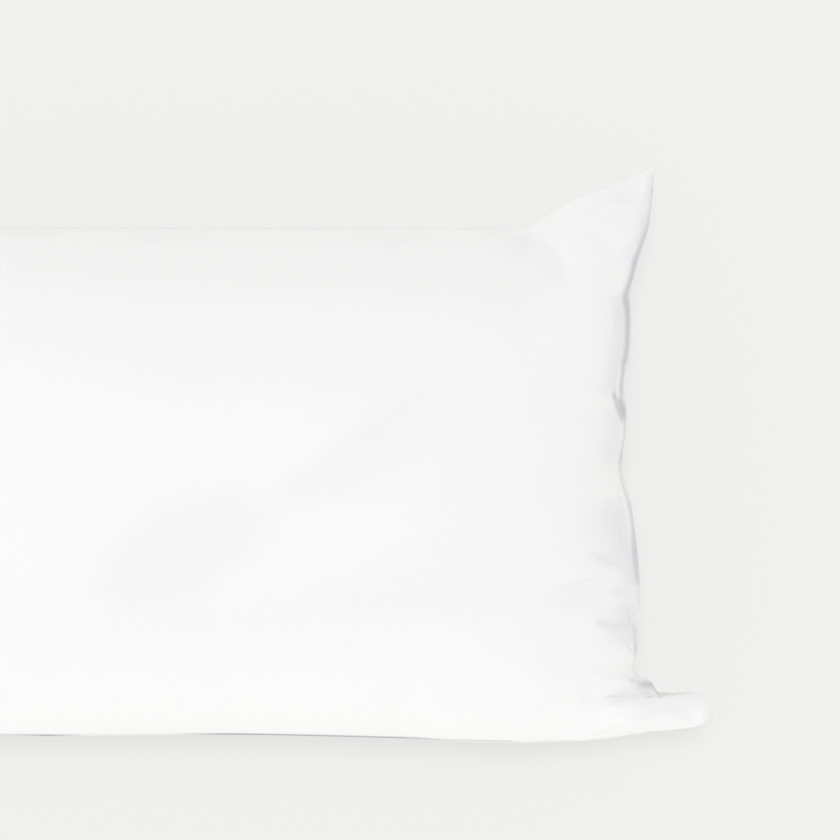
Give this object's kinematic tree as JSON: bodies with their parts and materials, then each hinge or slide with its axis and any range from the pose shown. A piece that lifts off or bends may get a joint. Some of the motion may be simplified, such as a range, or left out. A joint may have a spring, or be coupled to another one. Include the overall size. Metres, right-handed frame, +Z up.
{
  "type": "filled pillowcase",
  "caption": "Plump filled pillowcase of plain white cotton with a crowned front, drawn-in ends, pulled-out corners and one corner rolled into a tongue.",
  "frame": {"origin": "on the surface that the pillowcase lies on, under the middle of its box", "axes": "+X along the long sides towards the end with the rolled corner, +Y across towards the side with the two pointed ears, +Z up out of the front"},
  "size_m": [0.7544, 0.4996, 0.1683],
  "materials": {
    "cotton": "plain-woven white cotton percale, matt, washed and lightly creased"
  },
  "bodies": {
    "root": {"pillowcase": "cotton"}
  },
  "joints": []
}
